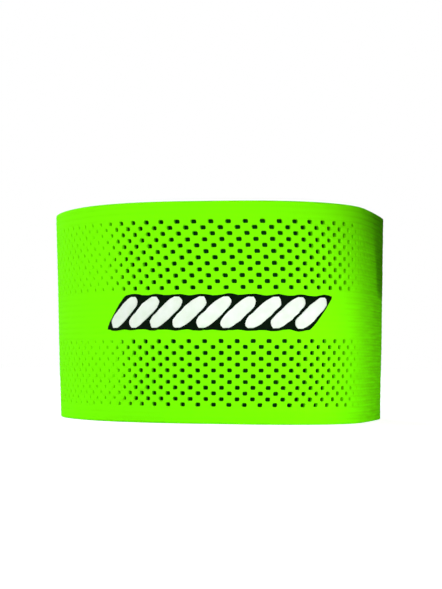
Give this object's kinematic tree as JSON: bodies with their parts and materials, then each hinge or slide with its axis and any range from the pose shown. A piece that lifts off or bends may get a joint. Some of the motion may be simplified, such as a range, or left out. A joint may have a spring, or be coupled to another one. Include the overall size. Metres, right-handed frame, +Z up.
{
  "type": "captain armband",
  "caption": "Knitted elastic armband: an open loop with two bands of staggered eyelets over a dark inner sleeve and a twisted-rope print on the front.",
  "frame": {"origin": "on the ground under the middle of the whole box, in the hollow of the loop", "axes": "+Z up along the loop's axis, -Y towards the printed front, the fold creases at -X and +X"},
  "size_m": [0.0976, 0.1224, 0.06],
  "materials": {
    "neon_knit": "matte fluorescent green elastic knit with fine lengthwise ribs and staggered eyelets",
    "dark_knit": "matte near-black green plain knit",
    "print_black": "thin satin black transfer film",
    "print_white": "thin satin off-white transfer film, slightly mottled"
  },
  "bodies": {
    "root": {"elastic_band": "neon_knit", "dark_lining": "dark_knit", "print_ground": "print_black", "print_strand_1": "print_white", "print_strand_2": "print_white", "print_strand_3": "print_white", "print_strand_4": "print_white", "print_strand_5": "print_white", "print_strand_6": "print_white", "print_strand_7": "print_white", "print_strand_8": "print_white", "print_strand_9": "print_white"}
  },
  "joints": []
}
